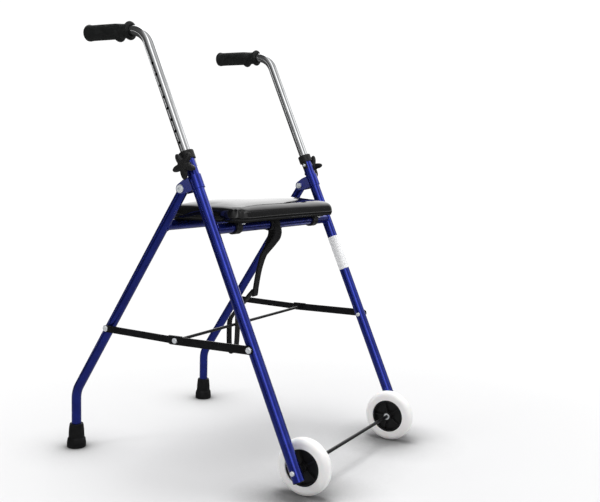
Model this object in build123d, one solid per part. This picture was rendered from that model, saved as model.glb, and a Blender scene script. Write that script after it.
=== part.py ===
"""A folding rollator walker: two wheels in front, two rubber feet behind, a padded seat and handles
that slide in the front tubes.

Axes: +Z up, front (the wheels) towards -Y, the walking user's right towards -X. The origin is on the
floor, under the middle of the overall box. All sizes are in millimetres.
"""
from build123d import *
import math
import os

# ---------------------------------------------------------------- driving dimensions
# Front tubes
FRONT_OD = 25.4
FRONT_WALL = 1.5
TRACK = 503.6                  # between the two side planes, tube centre to tube centre
RAKE_DEG = 24.03               # the front tubes lean back from the vertical
TUBE_BELOW_AXLE = 20.0
TUBE_TOP = 692.0               # along the tube, from the axle

# Rear legs, cross tubes and handle tubes
TUBE_OD = 22.2
TUBE_WALL = 1.2
BEND_RADIUS = 60.0             # where a rear leg turns upright above its foot

# Wheels
WHEEL_R = 60.4
TYRE_SEAT_R = 38.7
TYRE_W = 27.0
WHEEL_X = 214.5
HUB_W = 30.0
AXLE_R = 4.0

# Feet
FERRULE_BASE_R = 21.9
FERRULE_H = 56.0
WHEELBASE = 594.7              # axle to the middle of a foot

# Fold pivot of the rear legs
PIVOT_Z = 618.0
PIVOT_BEHIND_TUBE = 38.0       # level distance from the front tube's axis
BRACKET_H = 29.0
BRACKET_WALL = 2.3
EAR_T = 2.0
EAR_GAP = 0.3

# Folding braces
BRACE_Z = 298.0
BRACE_MID_BACK = 187.4         # middle pivot behind the front bolt
BRACE_MID_Z = 294.3            # a little below the line of the end bolts, so the brace locks
REAR_BOLT_Z = 296.7
FRONT_LINK_H = 18.0
REAR_LINK_H = 15.5
LINK_T = 2.0
REAR_LINK_T = 2.5
LINK_OVERLAP = 20.0            # the front link runs on past the middle pivot as a stop
BRACE_ROD_R = 3.5

# Cross tubes
SEAT_TUBE_Z = 536.0
REAR_TUBE_Z = 537.0

# Handles
HANDLE_BEND_R = 50.0
GRIP_Z = 951.5
GRIP_START = 153.3
GRIP_LENGTH = 125.5
GRIP_R = 16.8
GRIP_FLANGE_R = 19.6
TUBE_IN_GRIP = 119.0
INSERTED = 150.0               # length of handle tube inside the front tube
HOLE_PITCH = 25.85             # the first hole in sight is two steps above the knob
FIRST_HOLE = 715.7             # along the tube, from the axle
HOLE_COUNT = 8
HOLE_R = 3.2

# Collar and knob
COLLAR_TOP = 695.0
COLLAR_H = 18.0
COLLAR_R = 16.2
TONGUE_H = 17.0                # the inboard tongue reaches this far below the ring
TONGUE_W = 13.0
KNOB_AT = 664.0                # along the tube, from the axle
KNOB_TIP_R = 30.0
KNOB_LOBES = 5
KNOB_LOBE_W = 13.5
KNOB_LOBE_T = 12.0
KNOB_LOBE_X = 274.8
KNOB_BOSS_X = 287.0
STUD_R = 4.0

# Seat
SEAT_FRONT = -115.0
SEAT_BACK = 82.0
SEAT_HALF_W = 222.0
SEAT_CORNER_R = 34.0
BOARD_UNDER = 550.4
BOARD_T = 8.0
PAD_T = 30.0
COVER_T = 5.0                  # padding and cover beside the board's edge
CLIP_X = 170.0
CLIP_W = 22.0
FLANGE_T = 3.6
REST_X = 187.0

# Strap
STRAP_W = 22.0
STRAP_T = 2.2
STRAP_TOP_X = -23.0            # it leaves the cross tube here and drifts to the right going down
STRAP_DRIFT_DEG = 3.5
STRAP_WRAP = (-50.0, 6.0)      # the webbing wound on the cross tube, across the width
STRAND_GAP = 23.0              # between the two strands of the loop
LOOP_HANGS = 62.0              # the loop's length below the brace rod

# Fasteners
BRACE_BOLT_R = 3.0
PIVOT_BOLT_R = 4.0
BOLT_HEAD_R = 9.0
BOLT_HEAD_H = 4.2
HEX_SOCKET = 6.0               # across the flats
INSERT_R = 6.2
BUSH_R = 6.4

# Label
LABEL_LOW = 382.8              # along the tube, from the axle
LABEL_H = 87.6
LABEL_T = 0.25

RUNNING = 0.06                 # radial clearance of a turning fit
SLIDING = 0.1                  # radial clearance of a handle tube in its front tube
COPE_GAP = 0.02                # a tube coped to one of its own size stops this far from it

# ---------------------------------------------------------------- derived places
SIDE_X = TRACK / 2
RAKE = math.radians(RAKE_DEG)
FRONT_R = FRONT_OD / 2
TUBE_R = TUBE_OD / 2
AXLE_Y = (WHEEL_R - FERRULE_BASE_R - WHEELBASE) / 2
FOOT_Y = AXLE_Y + WHEELBASE
AXLE_Z = WHEEL_R


def on_tube(along):
    """(y, z) of the point on the front tube's axis at this distance from the axle."""
    return AXLE_Y + along * math.sin(RAKE), AXLE_Z + along * math.cos(RAKE)


def tube_y(z):
    """y of the front tube's axis at height z."""
    return AXLE_Y + (z - AXLE_Z) * math.tan(RAKE)


LEG_BEND_Z = 133.0
LEG_TOP_Z = PIVOT_Z + 9.0
FOOT_TUBE_Z = 8.0
PIVOT = (tube_y(PIVOT_Z) + PIVOT_BEHIND_TUBE, PIVOT_Z)
BRACE_FRONT = (tube_y(BRACE_Z), BRACE_Z)
BRACE_MID = (BRACE_FRONT[0] + BRACE_MID_BACK, BRACE_MID_Z)
LEG_SLOPE = (FOOT_Y - PIVOT[0]) / (PIVOT_Z - LEG_BEND_Z)
SEAT_TUBE = (tube_y(SEAT_TUBE_Z), SEAT_TUBE_Z)


def leg_y(z):
    """y of the rear leg's axis at height z, above its bend."""
    return PIVOT[0] + (PIVOT_Z - z) * LEG_SLOPE


BRACE_REAR = (leg_y(REAR_BOLT_Z), REAR_BOLT_Z)
REAR_TUBE = (leg_y(REAR_TUBE_Z), REAR_TUBE_Z)
SIDES = {"right": -1, "left": 1}

# Places across the width, measured from the middle plane
LEG_OUT = SIDE_X + TUBE_R
TUBE_OUT = SIDE_X + FRONT_R
REAR_LINK_IN = TUBE_OUT + 0.6
FRONT_LINK_IN = REAR_LINK_IN + REAR_LINK_T + 0.3
FRONT_LINK_OUT = FRONT_LINK_IN + LINK_T
AXLE_HALF = TUBE_OUT + 1.5
EAR_IN = TUBE_R + EAR_GAP
EAR_OUT = EAR_IN + EAR_T
PIVOT_ALONG = (PIVOT_Z - AXLE_Z) * math.cos(RAKE) + (PIVOT[0] - AXLE_Y) * math.sin(RAKE)


# ---------------------------------------------------------------- helpers
def rod_x(x0, x1, y, z, radius):
    """A round bar along X."""
    low, high = min(x0, x1), max(x0, x1)
    plane = Plane(origin=(low, y, z), x_dir=(0, 1, 0), z_dir=(1, 0, 0))
    return plane * Cylinder(radius, high - low, align=(Align.CENTER, Align.CENTER, Align.MIN))


def ring_x(x0, x1, y, z, outer, inner):
    """A round sleeve along X."""
    return rod_x(x0, x1, y, z, outer) - rod_x(min(x0, x1) - 1, max(x0, x1) + 1, y, z, inner)


def tube_plane(x, along):
    """A plane square to the front tube: its Z runs up the tube and its X is the frame's X."""
    y, z = on_tube(along)
    return Plane(origin=(x, y, z), x_dir=(1, 0, 0), z_dir=(0, math.sin(RAKE), math.cos(RAKE)))


def tube_bar(x, start, end, radius):
    """A round bar on the front tube's axis."""
    bar = Cylinder(radius, end - start, align=(Align.CENTER, Align.CENTER, Align.MIN))
    return tube_plane(x, start) * bar


def tube_ring(x, start, end, outer, inner):
    """A sleeve on the front tube's axis."""
    return tube_bar(x, start, end, outer) - tube_bar(x, start - 1, end + 1, inner)


def swept(path, radius):
    """A round bar along a path."""
    start = Plane(origin=path @ 0, z_dir=path % 0)
    return sweep(start * Circle(radius), path=path)


def tube_along(path, longer_path, outer, wall):
    """A hollow tube: the bar along path, less the bore along a slightly longer path."""
    return swept(path, outer) - swept(longer_path, outer - wall)


def side_plate(x0, x1, outline):
    """A flat plate from x0 to x1 whose outline is a sketch drawn as (y, z)."""
    low, high = min(x0, x1), max(x0, x1)
    plane = Plane(origin=(low, 0, 0), x_dir=(0, 1, 0), z_dir=(1, 0, 0))
    return extrude(plane * outline, amount=high - low)


def bar_outline(a, b, width):
    """A flat bar's outline with round ends about the points a and b."""
    length = math.dist(a, b)
    middle = ((a[0] + b[0]) / 2, (a[1] + b[1]) / 2)
    angle = math.degrees(math.atan2(b[1] - a[1], b[0] - a[0]))
    return Pos(*middle) * Rot(0, 0, angle) * SlotCenterToCenter(length, width)


def domed_head(x_face, outward, y, z, radius, height):
    """A low domed bolt head standing on the plane x = x_face."""
    head = Cylinder(radius, height, align=(Align.CENTER, Align.CENTER, Align.MIN))
    head = fillet(head.edges().sort_by(Axis.Z)[-1], height * 0.8)
    plane = Plane(origin=(x_face, y, z), x_dir=(0, 1, 0), z_dir=(outward, 0, 0))
    return plane * head


def hex_bar(x_face, outward, y, z, flats, height):
    """A hexagon bar standing on the plane x = x_face."""
    bar = extrude(RegularPolygon(flats / 2, 6, major_radius=False), amount=height)
    plane = Plane(origin=(x_face, y, z), x_dir=(0, 1, 0), z_dir=(outward, 0, 0))
    return plane * bar


def solids_group(shapes):
    """Several separate solids in one node."""
    return Compound(children=[s for shape in shapes for s in shape.solids()])


# ---------------------------------------------------------------- front frame
def front_tube(side):
    """The raked tube, open at the top for the handle, drilled for axle, brace bolt and knob stud."""
    x = side * SIDE_X
    tube = tube_ring(x, -TUBE_BELOW_AXLE, TUBE_TOP, FRONT_R, FRONT_R - FRONT_WALL)
    tube -= rod_x(x - 20, x + 20, AXLE_Y, AXLE_Z, AXLE_R)
    tube -= rod_x(x - 20, x + 20, *BRACE_FRONT, BRACE_BOLT_R)
    tube -= rod_x(x, x + side * 20, *on_tube(KNOB_AT), STUD_R + RUNNING)
    return tube


def front_cross_tube():
    """The tube that carries the seat, coped to the two front tubes."""
    tube = ring_x(-SIDE_X, SIDE_X, *SEAT_TUBE, TUBE_R, TUBE_R - TUBE_WALL)
    for side in SIDES.values():
        tube -= tube_bar(side * SIDE_X, 400, 640, FRONT_R)
    return tube


def pivot_bracket(side):
    """A sheet sleeve round the front tube, with two ears that hold the rear leg's pivot bolt."""
    x = side * SIDE_X
    low, high = PIVOT_ALONG - BRACKET_H / 2, PIVOT_ALONG + BRACKET_H / 2
    bracket = tube_ring(x, low, high, FRONT_R + BRACKET_WALL, FRONT_R)
    ear_r = 11.5
    shoulder = PIVOT_BEHIND_TUBE * math.cos(RAKE) * 0.6
    back = (shoulder * math.cos(RAKE), -shoulder * math.sin(RAKE))
    low_front, high_front = on_tube(low), on_tube(high)
    low_back = (low_front[0] + back[0], low_front[1] + back[1])
    high_back = (high_front[0] + back[0], high_front[1] + back[1])
    plate = make_face(Polyline(low_front, low_back, high_back, high_front, close=True))
    outline = make_hull((plate + Pos(*PIVOT) * Circle(ear_r)).edges())
    for way in (-1, 1):
        bracket += side_plate(x + way * EAR_IN, x + way * EAR_OUT, outline)
    bracket -= tube_bar(x, low - 5, high + 5, FRONT_R)
    return bracket - rod_x(x - 20, x + 20, *PIVOT, PIVOT_BOLT_R)


def pivot_bolt(side):
    """Domed bolt through both ears and the rear leg, head outboard."""
    x = side * SIDE_X
    bolt = rod_x(x - side * (EAR_OUT + 7.5), x + side * EAR_OUT, *PIVOT, PIVOT_BOLT_R)
    bolt += domed_head(x + side * EAR_OUT, side, *PIVOT, BOLT_HEAD_R, BOLT_HEAD_H)
    return bolt - hex_bar(x + side * (EAR_OUT + BOLT_HEAD_H - 2.4), side, *PIVOT, HEX_SOCKET, 5.0)


def pivot_nut(side):
    """Nut on the inboard end of the pivot bolt."""
    x = side * (SIDE_X - EAR_OUT)
    return hex_bar(x, -side, *PIVOT, 13.0, 6.0) - rod_x(x - 10, x + 10, *PIVOT, PIVOT_BOLT_R)


def height_collar(side):
    """Plastic cap on the tube's top: a ring, a tongue down the inboard side and a boss for the knob."""
    x = side * SIDE_X
    low = COLLAR_TOP - COLLAR_H
    collar = tube_bar(x, low, COLLAR_TOP, COLLAR_R)
    collar = fillet(collar.edges().sort_by(Axis.Z)[-1], 1.2)
    for way, drop in ((-side, TONGUE_H), (side, low - KNOB_AT)):
        tongue = tube_bar(x, low - drop, low + 1, COLLAR_R - 0.6)
        collar += tongue & tube_plane(x, low) * Pos(way * 15, 0, -drop / 2) * Box(16, TONGUE_W, drop + 2)
    collar += rod_x(x + side * 8, x + side * COLLAR_R, *on_tube(KNOB_AT), 10.0)
    collar -= tube_bar(x, low - 60, TUBE_TOP, FRONT_R)
    collar -= tube_bar(x, TUBE_TOP - 1, COLLAR_TOP + 1, TUBE_R + SLIDING)
    return collar - rod_x(x, x + side * 30, *on_tube(KNOB_AT), INSERT_R)


def stud_insert(side):
    """Threaded steel insert in the collar's boss, which the knob's stud screws through."""
    x = side * SIDE_X
    insert = rod_x(x + side * 8, x + side * (COLLAR_R - 0.3), *on_tube(KNOB_AT), INSERT_R)
    insert -= tube_bar(x, KNOB_AT - 30, KNOB_AT + 30, FRONT_R)
    insert -= rod_x(x, x + side * 30, *on_tube(KNOB_AT), STUD_R + RUNNING)
    return insert


def collar_rivet(side):
    """Small steel rivet that holds the collar's tongue to the tube, on the inboard side."""
    x = side * SIDE_X
    at = on_tube(COLLAR_TOP - COLLAR_H - TONGUE_H / 2)
    return domed_head(x - side * (COLLAR_R - 0.6), -side, *at, 3.6, 1.6)


def tube_end_plug(side):
    """Black plug in the open bottom of the front tube."""
    x = side * SIDE_X
    plug = tube_bar(x, -TUBE_BELOW_AXLE - 2, -TUBE_BELOW_AXLE, FRONT_R)
    plug += tube_bar(x, -TUBE_BELOW_AXLE, -TUBE_BELOW_AXLE + 10, FRONT_R - FRONT_WALL)
    return plug


def axle_rod():
    """One steel rod through both wheels and both front tubes."""
    return rod_x(-AXLE_HALF, AXLE_HALF, AXLE_Y, AXLE_Z, AXLE_R)


def axle_cap(side):
    """Domed push-on cap that holds the axle's end outside the tube."""
    cap = domed_head(side * AXLE_HALF, side, AXLE_Y, AXLE_Z, 5.0, 3.0)
    skirt = ring_x(side * TUBE_OUT, side * AXLE_HALF, AXLE_Y, AXLE_Z, 5.0, AXLE_R)
    return cap + skirt


def axle_spacer(side):
    """Sleeve on the axle between hub and tube."""
    inner_face = side * (WHEEL_X + HUB_W / 2 + 0.3)
    spacer = ring_x(inner_face, side * (SIDE_X - 8), AXLE_Y, AXLE_Z, 7.0, AXLE_R)
    return spacer - tube_bar(side * SIDE_X, -40, 40, FRONT_R)


def axle_clip(side):
    """Spring washer that keeps the wheel from sliding inwards along the axle."""
    face = side * (WHEEL_X - HUB_W / 2 - 0.3)
    return ring_x(face, face - side * 1.6, AXLE_Y, AXLE_Z, 7.5, AXLE_R)


def label_wrap():
    """Blank sticker wrapped round the left front tube."""
    x = SIDE_X
    return tube_ring(x, LABEL_LOW, LABEL_LOW + LABEL_H, FRONT_R + LABEL_T, FRONT_R)


def front_brace_bolt(side):
    """Bolt through the front tube, on which the front link turns."""
    x = side * SIDE_X
    end = side * (FRONT_LINK_OUT + 0.2)
    bolt = rod_x(x - side * (FRONT_R + 1.0), end, *BRACE_FRONT, BRACE_BOLT_R)
    bolt += domed_head(end, side, *BRACE_FRONT, 6.6, 3.4)
    bolt += domed_head(x - side * (FRONT_R + 1.0), -side, *BRACE_FRONT, 5.0, 2.6)
    return bolt


def front_brace_spacer(side):
    """Sleeve that stands the front link off the tube."""
    spacer = ring_x(side * SIDE_X, side * (FRONT_LINK_IN - 0.3), *BRACE_FRONT, 6.0, BRACE_BOLT_R)
    return spacer - tube_bar(side * SIDE_X, 200, 320, FRONT_R)


# ---------------------------------------------------------------- handles
def handle_path(x, start, grip_end):
    """The tube's centre line: up the rake from start, round the bend, then level to the rear."""
    corner = (AXLE_Y + (GRIP_Z - AXLE_Z) * math.tan(RAKE), GRIP_Z)
    points = [(x, *on_tube(start)), (x, *corner), (x, grip_end, GRIP_Z)]
    return FilletPolyline(*points, radius=HANDLE_BEND_R)


def handle_tube(side):
    """Chromed tube with a row of height holes in its outer face."""
    x = side * SIDE_X
    start = COLLAR_TOP - INSERTED
    end = GRIP_START + TUBE_IN_GRIP
    tube = tube_along(handle_path(x, start, end), handle_path(x, start - 5, end + 5), TUBE_R, TUBE_WALL)
    for count in range(HOLE_COUNT):
        tube -= rod_x(x, x + side * 20, *on_tube(FIRST_HOLE + count * HOLE_PITCH), HOLE_R)
    return tube


def grip(side):
    """Moulded grip: a flange in front, a waist, a finger swell below, and a bulged closed end."""
    x = side * SIDE_X
    end = GRIP_START + GRIP_LENGTH
    profile = [
        (GRIP_START, 17.0), (GRIP_START + 2, 19.0), (GRIP_START + 5, GRIP_FLANGE_R), (GRIP_START + 9, 18.0),
        (GRIP_START + 15, 15.6), (GRIP_START + 22, 15.4), (GRIP_START + 45, GRIP_R), (end - 22, GRIP_R),
        (end - 9, GRIP_R + 0.9), (end - 3, GRIP_R + 0.3), (end, 13.0),
    ]
    skin = Spline(*profile)
    face = make_face([
        Line((GRIP_START, 0), profile[0]), skin, Line(profile[-1], (end, 0)), Line((end, 0), (GRIP_START, 0))
    ])
    body = Pos(x, 0, GRIP_Z) * revolve(Plane.YZ * face, axis=Axis.Y)
    body += Pos(x, GRIP_START + 32, GRIP_Z - 13.5) * scale(Sphere(7.8), by=(1.0, 1.3, 1.0))
    bore_end = GRIP_START + TUBE_IN_GRIP
    plane = Plane(origin=(x, GRIP_START - 12, GRIP_Z), x_dir=(1, 0, 0), z_dir=(0, 1, 0))
    bore = plane * Cylinder(TUBE_R, bore_end - GRIP_START + 12, align=(Align.CENTER, Align.CENTER, Align.MIN))
    return body - bore


# ---------------------------------------------------------------- knobs
def star_knob(side):
    """Five lobes on a boss, with a blind hole for the stud."""
    y, z = on_tube(KNOB_AT)
    lobe_len = KNOB_TIP_R - KNOB_LOBE_W / 2
    sketch = Circle(13.5)
    for count in range(KNOB_LOBES):
        angle = 60 + count * 360 / KNOB_LOBES
        arm = Rot(0, 0, angle) * Pos(lobe_len / 2, 0) * SlotCenterToCenter(lobe_len, KNOB_LOBE_W)
        sketch += arm
    lobes = extrude(sketch, amount=KNOB_LOBE_T / 2, both=True)
    lobes = fillet(lobes.edges().group_by(Axis.Z)[0] + lobes.edges().group_by(Axis.Z)[-1], 3.0)
    plane = Plane(origin=(side * KNOB_LOBE_X, y, z), x_dir=(0, -1, 0), z_dir=(side, 0, 0))
    knob = plane * lobes
    knob += rod_x(side * (SIDE_X + COLLAR_R + 0.3), side * KNOB_BOSS_X, y, z, 12.0)
    knob -= rod_x(side * (SIDE_X + COLLAR_R - 5), side * (KNOB_BOSS_X - 5), y, z, STUD_R)
    return knob


def knob_stud(side):
    """Threaded stud, its tip just clear of the handle tube, as when the knob is loosened."""
    tip = side * (SIDE_X + TUBE_R + 0.3)
    return rod_x(tip, side * (KNOB_BOSS_X - 5), *on_tube(KNOB_AT), STUD_R)


# ---------------------------------------------------------------- rear frame
def leg_path(x, top, bottom):
    """A rear leg's centre line, from its upper end down to its foot."""
    points = [(x, leg_y(top), top), (x, FOOT_Y, LEG_BEND_Z), (x, FOOT_Y, bottom)]
    return FilletPolyline(*points, radius=BEND_RADIUS)


def rear_leg(side):
    """Rear leg, drilled for its pivot bolt and its brace bolt."""
    x = side * SIDE_X
    path = leg_path(x, LEG_TOP_Z, FOOT_TUBE_Z)
    longer = leg_path(x, LEG_TOP_Z + 3, FOOT_TUBE_Z - 3)
    leg = tube_along(path, longer, TUBE_R, TUBE_WALL)
    leg -= rod_x(x - 20, x + 20, *PIVOT, PIVOT_BOLT_R + RUNNING)
    return leg


def rear_cross_tube():
    """The tube that the back of the seat rests on, coped to the rear legs."""
    tube = ring_x(-SIDE_X, SIDE_X, *REAR_TUBE, TUBE_R, TUBE_R - TUBE_WALL)
    for side in SIDES.values():
        tube -= swept(leg_path(side * SIDE_X, LEG_TOP_Z, FOOT_TUBE_Z), TUBE_R + COPE_GAP)
    return tube


def ferrule(side):
    """Rubber foot: a flared base, a groove, and a tapered socket for the leg."""
    outline = make_face(Polyline(
        (0, 0), (20.4, 0), (FERRULE_BASE_R, 2), (FERRULE_BASE_R, 12), (20.6, 20), (18.4, 23.5),
        (17.6, 40), (16.2, 53), (15.2, FERRULE_H), (TUBE_R, FERRULE_H), (TUBE_R, FOOT_TUBE_Z),
        (0, FOOT_TUBE_Z), close=True,
    ))
    foot = revolve(Plane.XZ * outline, axis=Axis.Z)
    return Pos(side * SIDE_X, FOOT_Y, 0) * foot


# ---------------------------------------------------------------- folding braces
def front_link(side):
    """Flat bar from the front tube to the middle pivot and a little past it, with a stop flange on top."""
    inner, outer = side * FRONT_LINK_IN, side * FRONT_LINK_OUT
    direction = ((BRACE_MID[0] - BRACE_FRONT[0]), (BRACE_MID[1] - BRACE_FRONT[1]))
    length = math.hypot(*direction)
    unit = (direction[0] / length, direction[1] / length)
    end = (BRACE_MID[0] + unit[0] * (LINK_OVERLAP - FRONT_LINK_H / 2),
           BRACE_MID[1] + unit[1] * (LINK_OVERLAP - FRONT_LINK_H / 2))
    link = side_plate(inner, outer, bar_outline(BRACE_FRONT, end, FRONT_LINK_H))
    angle = math.degrees(math.atan2(unit[1], unit[0]))
    flange = Pos(*BRACE_MID) * Rot(0, 0, angle) * Pos(0, FRONT_LINK_H / 2 + 0.6) * Rectangle(34, LINK_T)
    link += side_plate(side * (REAR_LINK_IN + 0.2), outer, flange)
    link -= rod_x(inner - 5, inner + 5, *BRACE_FRONT, BRACE_BOLT_R + RUNNING)
    link -= rod_x(inner - 5, inner + 5, *BRACE_MID, BRACE_BOLT_R)
    return link


def brace_rod():
    """Rod that joins the middle pivots of the two braces, turned down to a pin at each end."""
    shoulder = REAR_LINK_IN - 0.3
    rod = rod_x(-shoulder, shoulder, *BRACE_MID, BRACE_ROD_R)
    return rod + rod_x(-FRONT_LINK_OUT, FRONT_LINK_OUT, *BRACE_MID, BRACE_BOLT_R)


def mid_rivet(side):
    """Riveted head on the rod's pin, outside the front link."""
    return domed_head(side * FRONT_LINK_OUT, side, *BRACE_MID, 6.0, 3.0)


def rear_link(side):
    """Flat bar from the middle pivot to the rear leg."""
    link = side_plate(side * REAR_LINK_IN, side * (REAR_LINK_IN + REAR_LINK_T),
                      bar_outline(BRACE_MID, BRACE_REAR, REAR_LINK_H))
    middle = side * REAR_LINK_IN
    link -= rod_x(middle - 8, middle + 8, *BRACE_MID, BRACE_BOLT_R + RUNNING)
    link -= rod_x(middle - 8, middle + 8, *BRACE_REAR, BRACE_BOLT_R)
    return link


def rear_brace_bolt(side):
    """Bolt at the rear link's end. It stops just outside the leg, where the loop of links is open."""
    face = side * (REAR_LINK_IN + REAR_LINK_T)
    bolt = rod_x(side * (LEG_OUT + 0.3), face, *BRACE_REAR, BRACE_BOLT_R)
    return bolt + domed_head(face, side, *BRACE_REAR, 6.6, 3.4)


# ---------------------------------------------------------------- wheels
def tyre(side):
    """Solid tyre with a well rounded tread."""
    half = TYRE_W / 2
    profile = make_face(Polyline(
        (TYRE_SEAT_R, -half), (WHEEL_R, -half), (WHEEL_R, half), (TYRE_SEAT_R, half), close=True,
    ))
    profile = fillet(profile.vertices().sort_by(Axis.X)[-2:], 11.0)
    profile = fillet(profile.vertices().sort_by(Axis.X)[:2], 2.5)
    ring = revolve(Plane.XZ * profile, axis=Axis.Z)
    return Pos(side * WHEEL_X, AXLE_Y, AXLE_Z) * Rot(0, 90, 0) * ring


def hub(side):
    """Dished hub: a rim ring, a thin web with ribs, and a boss for the bush."""
    rim_half = TYRE_W / 2 - 1.0
    body = Cylinder(TYRE_SEAT_R, 2 * rim_half) - Cylinder(TYRE_SEAT_R - 3.5, 3 * rim_half)
    body += Cylinder(TYRE_SEAT_R - 3.5, 5.0)
    body += Cylinder(10.5, HUB_W)
    for count in range(5):
        rib = Pos(22.5, 0, 0) * Box(26, 3.0, 2 * rim_half - 9)
        body += Rot(0, 0, 90 + 72 * count) * rib
    body -= Cylinder(BUSH_R, 2 * HUB_W)
    return Pos(side * WHEEL_X, AXLE_Y, AXLE_Z) * Rot(0, 90, 0) * body


def wheel_bush(side):
    """Plain bush in the hub that turns on the axle."""
    x = side * WHEEL_X
    return ring_x(x - HUB_W / 2, x + HUB_W / 2, AXLE_Y, AXLE_Z, BUSH_R, AXLE_R + RUNNING)


# ---------------------------------------------------------------- seat
def seat_block(half_w, front, back, corner_r, low, high):
    """A level block with rounded corners in plan."""
    middle = (front + back) / 2
    outline = RectangleRounded(2 * half_w, back - front, corner_r)
    return Pos(0, middle, low) * extrude(outline, amount=high - low)


def seat_board():
    """The stiff board under the pad."""
    front, back = SEAT_FRONT + COVER_T, SEAT_BACK - COVER_T
    top = BOARD_UNDER + BOARD_T
    return seat_block(SEAT_HALF_W - COVER_T, front, back, SEAT_CORNER_R - COVER_T, BOARD_UNDER, top)


def seat_pad():
    """The upholstered pad: a plain rounded block whose cover comes down round the board."""
    top = BOARD_UNDER + BOARD_T + PAD_T
    pad = seat_block(SEAT_HALF_W, SEAT_FRONT, SEAT_BACK, SEAT_CORNER_R, BOARD_UNDER, top)
    pad = fillet(pad.edges().group_by(Axis.Z)[-1], 12.0)
    return pad - seat_board()


def seat_clip(x):
    """A hook round the front cross tube, open to the rear, with a flange screwed under the board."""
    y, z = SEAT_TUBE
    bore = TUBE_R + RUNNING
    hook = ring_x(x - CLIP_W / 2, x + CLIP_W / 2, y, z, TUBE_R + 3.6, bore)
    hook -= Pos(x, y, z) * Rot(-30, 0, 0) * Pos(0, 15, 0) * Box(CLIP_W + 2, 26, 13)
    neck = Pos(x, y - 6, (z + BOARD_UNDER) / 2 + 3) * Box(CLIP_W, 20, BOARD_UNDER - z - 6)
    flange = Pos(x, y - 16, BOARD_UNDER - FLANGE_T / 2) * Box(CLIP_W, 26, FLANGE_T)
    hook += neck + flange
    hook -= rod_x(x - 30, x + 30, y, z, bore)
    return hook & Pos(0, 0, BOARD_UNDER - 50) * Box(600, 600, 100)


def screw_head(x, y, z, direction):
    """A pan head on the plane through (x, y, z), standing out along direction."""
    head = Cylinder(4.2, 2.8, align=(Align.CENTER, Align.CENTER, Align.MIN))
    head = fillet(head.edges().sort_by(Axis.Z)[-1], 1.6)
    return Plane(origin=(x, y, z), z_dir=direction) * head


def clip_screw(x):
    """The screw that holds a seat clip's flange to the board, seen as its head."""
    return screw_head(x, SEAT_TUBE[0] - 22.5, BOARD_UNDER - FLANGE_T, (0, 0, -1))


def seat_rest(x):
    """A block under the board: thin over the rear cross tube, with a lip behind it."""
    y, z = REAR_TUBE
    top_clear = z + TUBE_R + 0.3
    back_clear = y + TUBE_R + 0.5
    pad = Pos(x, y + 1, (BOARD_UNDER + top_clear) / 2) * Box(22, 34, BOARD_UNDER - top_clear)
    lip = Pos(x, back_clear + 2.5, BOARD_UNDER - 5.5) * Box(22, 5, 11)
    return pad + lip


# ---------------------------------------------------------------- strap
def strap():
    """Webbing wound on the front cross tube, a doubled band below it, and a loop round the brace rod."""
    y, z = SEAT_TUBE
    tube_touch = TUBE_R + 0.2
    wrap = ring_x(*STRAP_WRAP, y, z, tube_touch + STRAP_T, tube_touch)
    rod_y, rod_z = BRACE_MID
    front_strand = rod_y - BRACE_ROD_R - STRAP_T / 2 - 0.6
    rear_strand = front_strand + STRAND_GAP
    loop_low = rod_z - LOOP_HANGS
    join = (y + 9, z - 65)
    slack_layer = [(y - 12, z + 2), (y - 24, z - 12), (y - 22, z - 30), (y - 9, z - 45), join]
    tight_layer = [(y - 4, z - 12), (y - 3, z - 24), (y + 2, z - 48), join]
    band = [join, (y + 16, z - 77), (y + 24.5, z - 110), (y + 30, z - 146), (y + 32, z - 167)]
    tail = [(y + 33, z - 157), (y + 44, z - 167), (rod_y - 19, rod_z + 53), (rod_y - 3, rod_z + 35)]
    loop = [
        tail[-1], (rear_strand - 5, rod_z + 16), (rear_strand, rod_z), (rear_strand - 2, rod_z - 46),
        (rear_strand - 6, loop_low), (rear_strand - 12, loop_low - 6), (front_strand + 4, loop_low - 3),
        (front_strand, rod_z - 44), (front_strand, rod_z), (front_strand + 1, rod_z + 18), tail[-1],
    ]
    outline = Sketch()
    single = [slack_layer, tight_layer, loop]
    doubled = [band, tail]
    for width, points in [(STRAP_T, run) for run in single] + [(2 * STRAP_T, run) for run in doubled]:
        for a, b in zip(points, points[1:]):
            outline += bar_outline(a, b, width)
    flat = side_plate(STRAP_TOP_X - STRAP_W / 2, STRAP_TOP_X + STRAP_W / 2, outline)
    hang = Pos(STRAP_TOP_X, 0, z) * Rot(0, STRAP_DRIFT_DEG, 0) * Pos(-STRAP_TOP_X, 0, -z)
    return wrap + (hang * flat - rod_x(-200, 200, y, z, tube_touch))


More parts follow.
